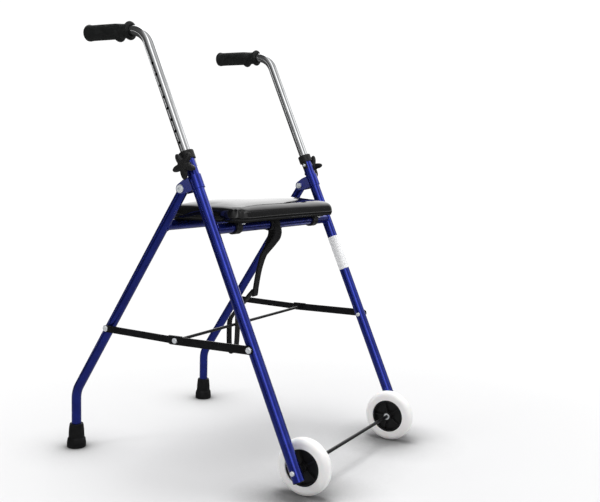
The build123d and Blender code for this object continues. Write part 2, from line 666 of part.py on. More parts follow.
# ---------------------------------------------------------------- the model
def build():
    """Every node by name."""
    nodes = {
        "front_cross_tube": front_cross_tube(),
        "rear_cross_tube": rear_cross_tube(),
        "axle_rod": axle_rod(),
        "label_wrap": label_wrap(),
        "brace_rod": brace_rod(),
        "seat_pad": seat_pad(),
        "seat_board": seat_board(),
        "seat_clips": solids_group([seat_clip(-CLIP_X), seat_clip(CLIP_X)]),
        "clip_screws": solids_group([clip_screw(-CLIP_X), clip_screw(CLIP_X)]),
        "seat_rests": solids_group([seat_rest(-REST_X), seat_rest(REST_X)]),
        "strap": strap(),
    }
    by_side = {
        "front_tube": front_tube, "pivot_bracket": pivot_bracket, "pivot_bolt": pivot_bolt,
        "height_collar": height_collar, "handle_tube": handle_tube, "grip": grip,
        "star_knob": star_knob, "knob_stud": knob_stud, "rear_leg": rear_leg, "ferrule": ferrule,
        "front_link": front_link, "rear_link": rear_link, "tyre": tyre, "hub": hub,
        "wheel_bush": wheel_bush,
    }
    for kind, make in by_side.items():
        for name, side in SIDES.items():
            nodes[kind + "_" + name] = make(side)
    pairs = {
        "pivot_nuts": pivot_nut, "stud_inserts": stud_insert, "collar_rivets": collar_rivet,
        "tube_end_plugs": tube_end_plug, "axle_caps": axle_cap, "axle_spacers": axle_spacer,
        "axle_clips": axle_clip, "front_brace_bolts": front_brace_bolt,
        "front_brace_spacers": front_brace_spacer, "mid_rivets": mid_rivet,
        "rear_brace_bolts": rear_brace_bolt,
    }
    for name, make in pairs.items():
        nodes[name] = solids_group([make(side) for side in SIDES.values()])
    return nodes


def main():
    os.makedirs("parts", exist_ok=True)
    for name, shape in build().items():
        export_step(shape, "parts/" + name + ".step")


main()
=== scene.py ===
"""A folding rollator walker on a plain pale floor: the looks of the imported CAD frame.

Everything is in metres in the CAD's frame: +Z up, the wheels towards -Y, the walking user's right at -X.
"""
import math

import bmesh
import bpy
import numpy as np
from mathutils import Matrix, Vector, noise


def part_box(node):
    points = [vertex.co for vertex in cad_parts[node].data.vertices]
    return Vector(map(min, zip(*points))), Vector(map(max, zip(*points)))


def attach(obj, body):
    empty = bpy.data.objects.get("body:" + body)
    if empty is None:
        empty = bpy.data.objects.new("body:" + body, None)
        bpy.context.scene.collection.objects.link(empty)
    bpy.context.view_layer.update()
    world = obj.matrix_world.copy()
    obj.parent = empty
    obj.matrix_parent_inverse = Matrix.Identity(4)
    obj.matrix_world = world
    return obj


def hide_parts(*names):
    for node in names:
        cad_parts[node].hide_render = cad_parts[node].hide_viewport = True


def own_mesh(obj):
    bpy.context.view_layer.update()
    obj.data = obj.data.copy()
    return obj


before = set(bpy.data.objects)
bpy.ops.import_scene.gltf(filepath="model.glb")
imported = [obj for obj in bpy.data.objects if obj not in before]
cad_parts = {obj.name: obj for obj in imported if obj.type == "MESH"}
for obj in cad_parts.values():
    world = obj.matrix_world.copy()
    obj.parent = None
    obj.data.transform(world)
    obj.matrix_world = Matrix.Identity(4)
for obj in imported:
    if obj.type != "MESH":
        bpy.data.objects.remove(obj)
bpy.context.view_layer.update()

SIDES = {"right": -1, "left": 1}

# ---------------------------------------------------------------- places taken over from the CAD
SIDE_X = 0.2518
RAKE = math.radians(24.03)
AXLE = Vector((0, -0.2781, 0.0604))
UP_TUBE = Vector((0, math.sin(RAKE), math.cos(RAKE)))
FRONT_R, TUBE_R = 0.0127, 0.0111
PIVOT = Vector((0, 0.00851, 0.618))
FOOT_Y, LEG_BEND_Z = 0.3166, 0.133
LEG_SLOPE = (FOOT_Y - PIVOT.y) / (PIVOT.z - LEG_BEND_Z)
BRACE_MID = Vector((0, 0.01524, 0.2943))
SEAT_TUBE_Z, REAR_TUBE_Z = 0.536, 0.537


def on_tube(along):
    """The point on a front tube's axis, in the middle plane, at this distance from the axle."""
    return AXLE + UP_TUBE * along


SEAT_TUBE = on_tube((SEAT_TUBE_Z - AXLE.z) / UP_TUBE.z)
REAR_TUBE = Vector((0, PIVOT.y + (PIVOT.z - REAR_TUBE_Z) * LEG_SLOPE, REAR_TUBE_Z))


def new_object(name, data):
    """An object in the scene's own collection."""
    made = bpy.data.objects.new(name, data)
    bpy.context.scene.collection.objects.link(made)
    return made


# ---------------------------------------------------------------- camera
CAMERA_PLACE = Vector((-1.69328, -1.0914, 0.68205))
CAMERA_TURN = (-60.494, 6.037, 1.438)                # azimuth, elevation and roll, in degrees
SENSOR_WIDTH, LENS = 36.0, 51.09                     # mm


def make_camera():
    """The camera stands in front of the walker's right side, a little above the seat."""
    azimuth, elevation, roll = (math.radians(angle) for angle in CAMERA_TURN)
    level = math.cos(elevation)
    back = Vector((math.sin(azimuth) * level, -math.cos(azimuth) * level, math.sin(elevation)))
    right = Vector((math.cos(azimuth), math.sin(azimuth), 0))
    up = back.cross(right)
    right, up = (
        math.cos(roll) * right + math.sin(roll) * up,
        math.cos(roll) * up - math.sin(roll) * right,
    )
    data = bpy.data.cameras.new("camera")
    data.sensor_fit = "HORIZONTAL"
    data.sensor_width, data.lens = SENSOR_WIDTH, LENS
    data.clip_start, data.clip_end = 0.05, 200.0
    camera = new_object("camera", data)
    camera.matrix_world = Matrix((
        (right.x, up.x, back.x, CAMERA_PLACE.x),
        (right.y, up.y, back.y, CAMERA_PLACE.y),
        (right.z, up.z, back.z, CAMERA_PLACE.z),
        (0, 0, 0, 1),
    ))
    bpy.context.scene.camera = camera


make_camera()


# ---------------------------------------------------------------- node materials
def fill_ramp(ramp, stops):
    """Gives a colour ramp its (position, linear colour) stops."""
    elements = ramp.color_ramp.elements
    while len(elements) < len(stops):
        elements.new(0.5)
    for element, (position, shade) in zip(elements, stops):
        element.position, element.color = position, (*shade, 1)


def fill_range(node, low, high, to_low, to_high):
    """Sets a map range node's limits."""
    for name, number in (("From Min", low), ("From Max", high), ("To Min", to_low), ("To Max", to_high)):
        node.inputs[name].default_value = number


class Look:
    """A Principled material under construction: short calls add its texture nodes and link them."""

    def __init__(self, name, **constants):
        self.material = bpy.data.materials.new(name)
        self.material.use_nodes = True
        self.tree = self.material.node_tree
        self.shader = self.tree.nodes["Principled BSDF"]
        for socket, value in constants.items():
            self.shader.inputs[socket.replace("_", " ")].default_value = value
        self.place = self.tree.nodes.new("ShaderNodeTexCoord").outputs["Object"]
        self.normal = None

    def node(self, kind, settings=None, **inputs):
        """A shader node; an input is named by its socket, or by i and its number."""
        made = self.tree.nodes.new("ShaderNode" + kind)
        for key, value in (settings or {}).items():
            setattr(made, key, value)
        for key, value in inputs.items():
            socket = made.inputs[int(key[1:])] if key[0] == "i" and key[1:].isdigit() else made.inputs[key]
            if isinstance(value, bpy.types.NodeSocket):
                self.tree.links.new(value, socket)
            else:
                socket.default_value = value
        return made

    def stretched(self, x, y, z):
        """The place, scaled along each axis, for streaks and grain with a direction."""
        return self.node("Mapping", Vector=self.place, Scale=(x, y, z)).outputs[0]

    def noise(self, scale, detail=3.0, rough=0.5, place=None):
        """Fractal noise, as a factor."""
        made = self.node("TexNoise", Vector=place or self.place, Scale=scale, Detail=detail, Roughness=rough)
        return made.outputs["Fac"]

    def cells(self, scale, feature="F1"):
        """Distance to the nearest point of a Voronoi pattern."""
        return self.node("TexVoronoi", {"feature": feature}, Vector=self.place, Scale=scale).outputs["Distance"]

    def ranged(self, value, low, high, to_low, to_high):
        """The value moved from one range to another, and kept inside it."""
        made = self.node("MapRange", {"clamp": True}, Value=value)
        fill_range(made, low, high, to_low, to_high)
        return made.outputs["Result"]

    def maths(self, operation, a, b=0.0):
        return self.node("Math", {"operation": operation}, i0=a, i1=b).outputs[0]

    def colour(self, factor, *stops):
        """Base colour from a factor through (position, linear colour) stops."""
        ramp = self.node("ValToRGB", Fac=factor)
        fill_ramp(ramp, stops)
        self.tree.links.new(ramp.outputs[0], self.shader.inputs["Base Color"])
        return ramp.outputs[0]

    def overlay(self, base, factor, shade):
        """Mixes a second colour over the base colour."""
        mix = self.node("Mix", {"data_type": "RGBA"}, i0=factor, i6=base, i7=(*shade, 1))
        self.tree.links.new(mix.outputs[2], self.shader.inputs["Base Color"])
        return mix.outputs[2]

    def rough(self, factor, low, high):
        """Roughness from low to high over the middle of the factor's range."""
        self.tree.links.new(self.ranged(factor, 0.3, 0.7, low, high), self.shader.inputs["Roughness"])

    def bump(self, height, depth, strength=1.0):
        """Adds relief of this depth in metres on top of the relief so far."""
        made = self.node("Bump", Height=height, Strength=strength, Distance=depth)
        if self.normal:
            self.tree.links.new(self.normal, made.inputs["Normal"])
        self.normal = made.outputs["Normal"]
        self.tree.links.new(self.normal, self.shader.inputs["Normal"])

    def soften(self, radius):
        """Rounds hard edges in the shading."""
        self.normal = self.node("Bevel", {"samples": 4}, Radius=radius).outputs["Normal"]
        self.tree.links.new(self.normal, self.shader.inputs["Normal"])


def blue_paint():
    """Deep blue metallic lacquer: fine flake, faint orange peel, a clear coat."""
    look = Look("blue_paint", Metallic=0.93, Coat_Weight=1.0, Coat_Roughness=0.05, Coat_IOR=1.36)
    look.soften(0.0006)
    flake = look.cells(5200.0)
    drift = look.noise(35.0, 4.0)
    mixed = look.maths("ADD", look.maths("MULTIPLY", flake, 0.35), look.maths("MULTIPLY", drift, 0.65))
    look.colour(mixed, (0.28, (0.010, 0.020, 0.25)), (0.5, (0.014, 0.030, 0.34)), (0.72, (0.022, 0.046, 0.45)))
    look.rough(drift, 0.19, 0.25)
    look.bump(look.noise(300.0, 2.0), 0.00005, 0.12)
    look.bump(flake, 0.00001, 0.08)
    return look.material


def chrome():
    """Bright plating with faint drawn streaks and haze."""
    look = Look("chrome", Metallic=1.0)
    streak = look.noise(160.0, 3.0, 0.6, look.stretched(1.0, 0.06, 0.06))
    haze = look.noise(28.0, 5.0, 0.6)
    look.colour(haze, (0.35, (0.66, 0.67, 0.68)), (0.65, (0.76, 0.77, 0.78)))
    look.rough(streak, 0.11, 0.16)
    look.bump(streak, 0.000005, 0.10)
    look.bump(haze, 0.0001, 0.05)
    return look.material


def zinc():
    """Plated fasteners: satin, a little blotchy, finely grained."""
    look = Look("zinc", Metallic=0.45)
    look.soften(0.0004)
    blotch = look.noise(260.0, 4.0, 0.6)
    look.colour(blotch, (0.3, (0.72, 0.75, 0.78)), (0.7, (0.90, 0.93, 0.95)))
    look.rough(blotch, 0.22, 0.38)
    look.bump(look.noise(1500.0, 2.0), 0.00004, 0.4)
    return look.material


def black_plastic():
    """Moulded nylon with a spark-eroded grain and softened edges."""
    look = Look("black_plastic", Specular_IOR_Level=0.35)
    look.soften(0.0009)
    grain = look.cells(1500.0)
    cloud = look.noise(45.0, 4.0)
    look.colour(cloud, (0.3, (0.007, 0.007, 0.0075)), (0.7, (0.013, 0.013, 0.0135)))
    look.rough(cloud, 0.34, 0.50)
    look.bump(grain, 0.00008, 0.3)
    look.bump(cloud, 0.0004, 0.10)
    return look.material


def black_rubber():
    """Matt rubber with a faint bloom and moulding flow."""
    look = Look("black_rubber", Specular_IOR_Level=0.14)
    look.soften(0.0008)
    bloom = look.noise(60.0, 5.0, 0.6)
    look.colour(bloom, (0.3, (0.0045, 0.0045, 0.005)), (0.55, (0.008, 0.008, 0.0085)), (0.8, (0.018, 0.018, 0.019)))
    look.rough(bloom, 0.50, 0.70)
    look.bump(look.noise(900.0, 3.0), 0.00012, 0.4)
    look.bump(bloom, 0.0005, 0.15)
    return look.material


def grip_rubber():
    """The grips: soft rubber with fine lines along them."""
    look = Look("grip_rubber", Specular_IOR_Level=0.3)
    bloom = look.noise(70.0, 5.0, 0.6)
    look.colour(bloom, (0.3, (0.0045, 0.005, 0.005)), (0.7, (0.010, 0.011, 0.011)))
    look.rough(bloom, 0.42, 0.60)
    look.bump(look.noise(700.0, 3.0, 0.55, look.stretched(1.0, 0.12, 1.0)), 0.00022, 0.5)
    look.bump(look.cells(1300.0), 0.00008, 0.3)
    return look.material


def white_tyre():
    """Warm white solid tyre: soft satin, faint scuffs on the tread."""
    look = Look("white_tyre", Specular_IOR_Level=0.4, Subsurface_Weight=0.08, Subsurface_Scale=0.004)
    look.soften(0.0008)
    cloud = look.noise(30.0, 4.0)
    base = look.colour(cloud, (0.3, (0.86, 0.85, 0.84)), (0.7, (0.91, 0.90, 0.89)))
    scuff = look.noise(220.0, 6.0, 0.7, look.stretched(3.0, 1.0, 1.0))
    look.overlay(base, look.ranged(scuff, 0.62, 0.82, 0.0, 0.35), (0.42, 0.41, 0.39))
    look.rough(cloud, 0.36, 0.5)
    look.bump(look.noise(500.0, 3.0), 0.00008, 0.3)
    return look.material


def black_steel():
    """Powder-coated flat bar and rod: semi-gloss, fine orange peel, rubbed bright spots."""
    look = Look("black_steel", Specular_IOR_Level=0.2, Coat_Weight=0.25, Coat_Roughness=0.2, Coat_IOR=1.35)
    look.soften(0.0005)
    peel = look.noise(650.0, 2.0)
    cloud = look.noise(40.0, 5.0, 0.6)
    base = look.colour(cloud, (0.3, (0.0035, 0.0035, 0.004)), (0.7, (0.0075, 0.0075, 0.0085)))
    look.overlay(base, look.ranged(look.noise(320.0, 6.0, 0.7), 0.72, 0.88, 0.0, 0.5), (0.05, 0.05, 0.055))
    look.rough(cloud, 0.26, 0.38)
    look.bump(peel, 0.00008, 0.4)
    return look.material


def board_lining():
    """The seat board's underside: black spun-bonded lining over fibre board."""
    look = Look("board_lining", Specular_IOR_Level=0.1)
    dimple = look.cells(620.0)
    fuzz = look.noise(1400.0, 4.0, 0.7)
    look.colour(fuzz, (0.3, (0.004, 0.004, 0.004)), (0.7, (0.012, 0.012, 0.012)))
    look.rough(fuzz, 0.75, 0.92)
    look.bump(dimple, 0.0003, 0.5)
    look.bump(fuzz, 0.0001, 0.4)
    return look.material


def black_vinyl():
    """Glossy upholstery vinyl: small pebbled grain, soft creases, uneven polish."""
    look = Look("black_vinyl", Specular_IOR_Level=0.0, Coat_Weight=1.0, Coat_Roughness=0.08, Coat_IOR=1.55)
    grain = look.cells(780.0, "SMOOTH_F1")
    crease = look.noise(14.0, 4.0, 0.55)
    cloud = look.noise(55.0, 5.0, 0.6)
    look.colour(cloud, (0.3, (0.0022, 0.0022, 0.0025)), (0.7, (0.0045, 0.0045, 0.005)))
    look.rough(cloud, 0.24, 0.36)
    look.bump(crease, 0.0008, 0.10)
    look.bump(grain, 0.00008, 0.12)
    return look.material


def webbing():
    """Black woven nylon: ribs across the band and fine yarns along it, from the band's own UVs."""
    look = Look("webbing", Specular_IOR_Level=0.15, Sheen_Weight=0.06, Sheen_Roughness=0.4)
    uv = look.node("UVMap").outputs[0]
    ribs = look.node("TexWave", {"wave_type": "BANDS", "bands_direction": "X"}, Vector=uv, Scale=150.0)
    yarns = look.node("TexWave", {"wave_type": "BANDS", "bands_direction": "DIAGONAL"}, Vector=uv, Scale=230.0)
    weave = look.maths("ADD", ribs.outputs["Fac"], look.maths("MULTIPLY", yarns.outputs["Fac"], 0.6))
    fray = look.noise(900.0, 4.0, 0.6)
    look.colour(look.maths("MULTIPLY", weave, look.maths("ADD", fray, 0.3)),
                (0.1, (0.0025, 0.0025, 0.003)), (0.9, (0.012, 0.012, 0.013)))
    look.rough(fray, 0.55, 0.75)
    look.bump(weave, 0.00035, 0.7)
    look.bump(fray, 0.0001, 0.3)
    return look.material


def label_film():
    """A blank white sticker: slightly cool, faintly soiled, with small wrinkles."""
    look = Look("label_film", Specular_IOR_Level=0.4, Coat_Weight=0.15, Coat_Roughness=0.3)
    cloud = look.noise(60.0, 4.0)
    base = look.colour(cloud, (0.3, (0.80, 0.805, 0.815)), (0.7, (0.84, 0.845, 0.85)))
    look.overlay(base, look.ranged(look.noise(70.0, 4.0, 0.6), 0.66, 0.85, 0.0, 0.3), (0.62, 0.62, 0.63))
    look.rough(cloud, 0.35, 0.5)
    look.bump(look.noise(60.0, 2.0, 0.5, look.stretched(1.0, 1.0, 0.35)), 0.0003, 0.12)
    return look.material


LOOKS = {
    make.__name__: make()
    for make in (blue_paint, chrome, zinc, black_plastic, black_rubber, grip_rubber, white_tyre, black_steel,
                 board_lining, black_vinyl, webbing, label_film)
}
NODE_LOOKS = {
    "blue_paint": ("front_tube", "front_cross_tube", "rear_leg", "rear_cross_tube", "pivot_bracket"),
    "chrome": ("handle_tube",),
    "zinc": ("pivot_bolt", "pivot_nuts", "stud_inserts", "collar_rivets", "knob_stud", "axle_caps", "axle_clips",
             "front_brace_bolts", "mid_rivets", "rear_brace_bolts", "clip_screws", "wheel_bush"),
    "black_plastic": ("height_collar", "star_knob", "tube_end_plugs", "hub", "seat_clips", "seat_rests",
                      "axle_spacers", "front_brace_spacers"),
    "black_rubber": ("ferrule",),
    "grip_rubber": ("grip",),
    "white_tyre": ("tyre",),
    "black_steel": ("front_link", "rear_link", "brace_rod", "axle_rod"),
    "board_lining": ("seat_board",),
    "black_vinyl": ("seat_pad",),
    "webbing": ("strap",),
    "label_film": ("label_wrap",),
}


def dress_nodes():
    """Every CAD node gets the look of its own name, or of its name without right or left."""
    for look, starts in NODE_LOOKS.items():
        for name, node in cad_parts.items():
            if name in starts or name.rsplit("_", 1)[0] in starts:
                node.data.materials.clear()
                node.data.materials.append(LOOKS[look])


dress_nodes()


# ---------------------------------------------------------------- mesh helpers
def piece(name, verts, faces, look, body, replaces=()):
    """A finished, smoothly shaded mesh object, riding on a body."""
    mesh = bpy.data.meshes.new(name)
    mesh.from_pydata([tuple(v) for v in verts], [], faces)
    mesh.validate()
    made = new_object(name, mesh)
    shape = bmesh.new()
    shape.from_mesh(mesh)
    bmesh.ops.recalc_face_normals(shape, faces=shape.faces)
    shape.to_mesh(mesh)
    shape.free()
    mesh.polygons.foreach_set("use_smooth", [True] * len(mesh.polygons))
    mesh.materials.append(LOOKS[look])
    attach(made, body)
    if replaces:
        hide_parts(*replaces)
    return made


def ring_faces(rings, around, closed_rings=False):
    """Quads between successive rings of points, each ring closed on itself."""
    faces = []
    for i in range(rings if closed_rings else rings - 1):
        for j in range(around):
            a, b = i * around, (i + 1) % rings * around
            k = (j + 1) % around
            faces.append((a + j, a + k, b + k, b + j))
    return faces


def bead(name, path, radius, body):
    """A weld bead: a rounded rope round a closed path, with the ripples of its puddles."""
    around, ripple, lumps = 8, 0.16, 0.18
    verts = []
    count = len(path)
    for i, point in enumerate(path):
        ahead = (path[(i + 1) % count] - path[i - 1]).normalized()
        side = ahead.cross(Vector((1, 0, 0))).normalized()
        lift = ahead.cross(side).normalized()
        swell = radius * (1 + ripple * math.sin(i * 2.2) + lumps * noise.noise(point * 400))
        for j in range(around):
            angle = 2 * math.pi * j / around
            verts.append(point + (side * math.cos(angle) + lift * math.sin(angle)) * swell)
    return piece(name, verts, ring_faces(count, around, True), "blue_paint", body)


# ---------------------------------------------------------------- welds
WELD_R = 0.0014
WELD_OFF_CROSS, WELD_OFF_SIDE = 0.0004, 0.0008       # the bead's middle off the walls, clear of the side tube's bore
WELD_STEPS = 72


def weld_path(tube, side, direction, side_r):
    """Where a cross tube meets a side tube that runs along direction."""
    path = []
    for i in range(WELD_STEPS):
        angle = 2 * math.pi * i / WELD_STEPS
        across = Vector((0, math.cos(angle), math.sin(angle))) * (TUBE_R + WELD_OFF_CROSS)
        off_axis = across.dot(Vector((0, direction.z, -direction.y)))
        reach = math.sqrt(max(side_r ** 2 - off_axis ** 2, 0))
        path.append(Vector((side * (SIDE_X - reach - WELD_OFF_SIDE), tube.y + across.y, tube.z + across.z)))
    return path


def make_welds():
    """A bead at each end of the two cross tubes."""
    leg_direction = Vector((0, -LEG_SLOPE, 1)).normalized()
    for word, side in SIDES.items():
        bead("seat_tube_weld_" + word, weld_path(SEAT_TUBE, side, UP_TUBE, FRONT_R), WELD_R, "front_frame")
        bead("rear_tube_weld_" + word, weld_path(REAR_TUBE, side, leg_direction, TUBE_R), WELD_R, "rear_frame")


make_welds()


# ---------------------------------------------------------------- grips
GRIP_START, GRIP_LENGTH, GRIP_Z = 0.1533, 0.1255, 0.9515
# mm from the flange, and the radius there in mm
GRIP_PROFILE = ((0, 16.8), (1.2, 18.8), (3.5, 19.6), (6.5, 19.2), (10, 17.2), (15, 15.4), (21, 15.2), (32, 16.0),
                (45, 16.7), (104, 16.8), (114, 17.3), (119, 17.9), (122.5, 17.5), (124.6, 16.0), (125.5, 13.2))


def hump(value, middle, width):
    """A smooth bump of height 1 round a middle value."""
    return math.exp(-((value - middle) / width) ** 2)


def grip_radius(along, angle):
    """The grip's surface: flange, waist, finger swell below, fluted body, bulged end with a nib on top."""
    mm = along * 1000
    radius = float(np.interp(mm, [stop[0] for stop in GRIP_PROFILE], [stop[1] for stop in GRIP_PROFILE]))
    up = math.sin(angle)
    flange = hump(mm, 4.0, 3.5) * (hump(up, 1, 0.5) + hump(up, -1, 0.5))
    finger = hump(mm, 33, 7.0) * hump(up, -1, 0.5)
    nib = hump(mm, 119, 4) * hump(up, 1, 0.4)
    fluted = min(1.0, max(0.0, (mm - 26) / 12)) * min(1.0, max(0.0, (112 - mm) / 10))
    radius += 0.7 * flange + 7.0 * finger + 0.9 * nib + 0.28 * fluted * math.cos(32 * angle)
    return radius / 1000


def make_grip(word, side):
    """One mesh: the bore's mouth, open on the tube, the outer skin, and the end with its shallow dish."""
    around, steps = 128, 96
    axis = Vector((side * SIDE_X, GRIP_START, GRIP_Z))
    verts = []

    def ring(along, radius_at):
        for j in range(around):
            angle = 2 * math.pi * j / around
            radius = radius_at(angle)
            verts.append(axis + Vector((radius * math.cos(angle), along, radius * math.sin(angle))))

    ring(0.010, lambda angle: TUBE_R + 0.00002)
    ring(0.0008, lambda angle: TUBE_R + 0.0002)
    ring(0.0, lambda angle: TUBE_R + 0.0014)
    for i in range(steps + 1):
        share = i / steps
        ring(GRIP_LENGTH * share, lambda angle: grip_radius(GRIP_LENGTH * share, angle))
    ring(GRIP_LENGTH - 0.0004, lambda angle: 0.0105)
    ring(GRIP_LENGTH - 0.0014, lambda angle: 0.0090)
    ring(GRIP_LENGTH - 0.0014, lambda angle: 0.0040)
    rings = len(verts) // around
    faces = ring_faces(rings, around)
    faces.append(tuple(range((rings - 1) * around, rings * around)))
    piece("grip_skin_" + word, verts, faces, "grip_rubber", "handle_" + word, ["grip_" + word])


# ---------------------------------------------------------------- knobs
KNOB_AT = on_tube(0.664)
KNOB_X, KNOB_TIP, KNOB_CORE = 0.2748, 0.0300, 0.0135     # the rim's plane, and the radii of the lobes and between them
KNOB_LOBES, KNOB_TURN = 5, math.radians(60)
KNOB_BACK, KNOB_FRONT, KNOB_CROWN = 0.0060, 0.0066, 0.0040
KNOB_DISH, KNOB_DISH_R = 0.0022, 0.0062
KNOB_NECK = ((0.2681, 0.0090), (0.2683, 0.0112), (0.2690, 0.0118), (0.2722, 0.0122), (0.2732, 0.0090))   # x, radius


def knob_point(turn, share, side):
    """A point of the five-lobed knob: turn round its axis, share from the front's middle to the back's."""
    lobe = 0.5 + 0.5 * math.cos(KNOB_LOBES * (turn - KNOB_TURN))
    tip = KNOB_CORE + (KNOB_TIP - KNOB_CORE) * lobe ** 1.15
    angle = math.pi * share
    radius = tip * abs(math.sin(angle)) ** 0.6
    level = math.copysign(abs(math.cos(angle)) ** 0.7, math.cos(angle))
    if level > 0:
        crown = KNOB_FRONT + KNOB_CROWN * max(0.0, 1 - radius / KNOB_TIP) ** 0.9
        x = KNOB_X + crown * level - KNOB_DISH * hump(radius, 0.0, KNOB_DISH_R)
    else:
        x = KNOB_X + KNOB_BACK * level
    return Vector((side * x, KNOB_AT.y - radius * math.cos(turn), KNOB_AT.z - side * radius * math.sin(turn)))


def make_knob(word, side):
    """The star and, behind it, the neck with its fine ripples."""
    around, rings = 120, 44
    verts = []
    for i in range(1, rings):
        for j in range(around):
            verts.append(knob_point(2 * math.pi * j / around, i / rings, side))
    faces = ring_faces(rings - 1, around)
    faces.append(tuple(range(around)))
    faces.append(tuple(range((rings - 2) * around, (rings - 1) * around)))
    neck = len(verts)
    for x, radius in KNOB_NECK:
        for j in range(around):
            turn = 2 * math.pi * j / around
            ripple = radius * (1 + 0.02 * math.cos(24 * turn))
            verts.append(Vector((side * x, KNOB_AT.y + ripple * math.cos(turn), KNOB_AT.z + ripple * math.sin(turn))))
    faces += [tuple(neck + k for k in quad) for quad in ring_faces(len(KNOB_NECK), around)]
    faces.append(tuple(range(neck, neck + around)))
    piece("knob_star_" + word, verts, faces, "black_plastic", "knob_" + word, ["star_knob_" + word])


for word, side in SIDES.items():
    make_grip(word, side)
    make_knob(word, side)


# ---------------------------------------------------------------- seat cushion
CUSHION_SLACK = 0.0018                               # the block's sides inside the CAD's, to leave room to swell
CUSHION_CORNER, CUSHION_VOXEL = 0.030, 0.0048
CLOTH_FRAMES = 20
BLOWN_MIDDLE, CROWN = 0.005, 0.0105                  # the middle's rise by the cloth, and the crown added to it
PLEATS = ((28, 0.0010), (58, 0.0013))                # degrees round each corner, and depth
PLEAT_REACH, PLEAT_WIDTH = 0.034, 8.0
VALLEY = (0.0007, 0.030, 0.011)                      # depth, distance from the edge and half width


def rounded_outline(half_x, half_y, corner, steps):
    """Points round a rounded rectangle, with the corner's arc divided into steps."""
    points = []
    for quarter in range(4):
        cx = (half_x - corner) * (1 if quarter in (0, 3) else -1)
        cy = (half_y - corner) * (1 if quarter in (0, 1) else -1)
        for i in range(steps + 1):
            angle = math.pi / 2 * (quarter + i / steps)
            points.append((cx + corner * math.cos(angle), cy + corner * math.sin(angle)))
    return points


def coordinates(made):
    """A mesh object's vertices as rows of an array."""
    return np.array([v.co for v in made.data.vertices])


def set_coordinates(made, rows):
    """Moves a mesh object's vertices to the rows of an array."""
    made.data.vertices.foreach_set("co", rows.astype(np.float32).ravel())
    made.data.update()


def cushion_block(middle, half, base, top):
    """A closed block with rounded corners and a rolled upper edge, remeshed evenly."""
    # how far each level is drawn in from the side, and its height
    levels = ((0.0030, base), (0.0012, base + 0.0012), (0.0, base + 0.004), (0.0, top - 0.013),
              (0.0015, top - 0.007), (0.005, top - 0.0028), (0.012, top - 0.0006), (0.020, top))
    shape = bmesh.new()
    loops = []
    for inset, z in levels:
        in_x, in_y = (reach - CUSHION_SLACK - inset for reach in (half.x, half.y))
        outline = rounded_outline(in_x, in_y, CUSHION_CORNER - inset, 8)
        loops.append([shape.verts.new((middle.x + x, middle.y + y, z)) for x, y in outline])
    for a, b in zip(loops, loops[1:]):
        for i in range(len(a)):
            j = (i + 1) % len(a)
            shape.faces.new((a[i], a[j], b[j], b[i]))
    shape.faces.new(loops[0])
    shape.faces.new(loops[-1])
    bmesh.ops.recalc_face_normals(shape, faces=shape.faces)
    mesh = bpy.data.meshes.new("seat_cushion")
    shape.to_mesh(mesh)
    shape.free()
    cushion = new_object("seat_cushion", mesh)
    bpy.context.view_layer.objects.active = cushion
    remesh = cushion.modifiers.new("remesh", "REMESH")
    remesh.mode, remesh.voxel_size, remesh.use_smooth_shade = "VOXEL", CUSHION_VOXEL, True
    bpy.ops.object.modifier_apply(modifier="remesh")
    return cushion


def blow_up(cushion, middle, base, top):
    """Inflates the block as cloth with its lower rim held, and returns where its vertices go."""
    rest = coordinates(cushion)
    held = cushion.vertex_groups.new(name="held")
    held.add([i for i, p in enumerate(rest) if p[2] < base + 0.0030], 1.0, "ADD")
    cloth = cushion.modifiers.new("cloth", "CLOTH")
    cloth.settings.use_pressure = True
    cloth.settings.uniform_pressure_force = 2.5
    cloth.settings.effector_weights.gravity = 0.0
    cloth.settings.vertex_group_mass = "held"
    cloth.settings.tension_stiffness = cloth.settings.compression_stiffness = 12.0
    cloth.settings.bending_stiffness = 0.6
    cloth.settings.quality = 5
    scene = bpy.context.scene
    for number in range(1, CLOTH_FRAMES + 1):
        scene.frame_set(number)
    bpy.ops.object.modifier_apply(modifier="cloth")
    scene.frame_set(1)
    moved = coordinates(cushion) - rest
    off_x, off_y = np.abs(rest[:, 0] - middle.x), np.abs(rest[:, 1] - middle.y)
    central = (off_x < 0.05) & (off_y < 0.03) & (rest[:, 2] > top - 0.004)
    moved[:, 2] *= BLOWN_MIDDLE / moved[central, 2].mean()
    return rest + np.clip(moved, (-0.0025, -0.0025, -0.001), (0.0018, 0.0018, 0.006))


def make_cushion():
    """The vinyl pad: a block blown up as cloth, crowned, smoothed, then given its details."""
    low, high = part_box("seat_pad")
    middle, half = (low + high) / 2, (high - low) / 2
    base, top = low.z + 0.0006, high.z - 0.0085
    cushion = cushion_block(middle, half, base, top)
    rest = coordinates(cushion)
    blown = blow_up(cushion, middle, base, top)
    crown = np.clip(1 - np.abs((rest[:, 0] - middle.x) / half.x) ** 4.5, 0, 1)
    crown *= np.clip(1 - np.abs((rest[:, 1] - middle.y) / half.y) ** 3.5, 0, 1)
    blown[:, 2] += CROWN * crown * np.clip((rest[:, 2] - base) / (top - base), 0, 1)
    set_coordinates(cushion, blown)
    even = cushion.modifiers.new("even", "SMOOTH")
    even.factor, even.iterations = 0.5, 12
    bpy.ops.object.modifier_apply(modifier="even")
    subdivide = cushion.modifiers.new("subdivide", "SUBSURF")
    subdivide.levels = subdivide.render_levels = 1
    bpy.ops.object.modifier_apply(modifier="subdivide")
    shape_details(cushion, middle, half, base, top)
    cushion.data.polygons.foreach_set("use_smooth", [True] * len(cushion.data.polygons))
    cushion.data.materials.clear()
    cushion.data.materials.append(LOOKS["black_vinyl"])
    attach(cushion, "seat")
    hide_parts("seat_pad")


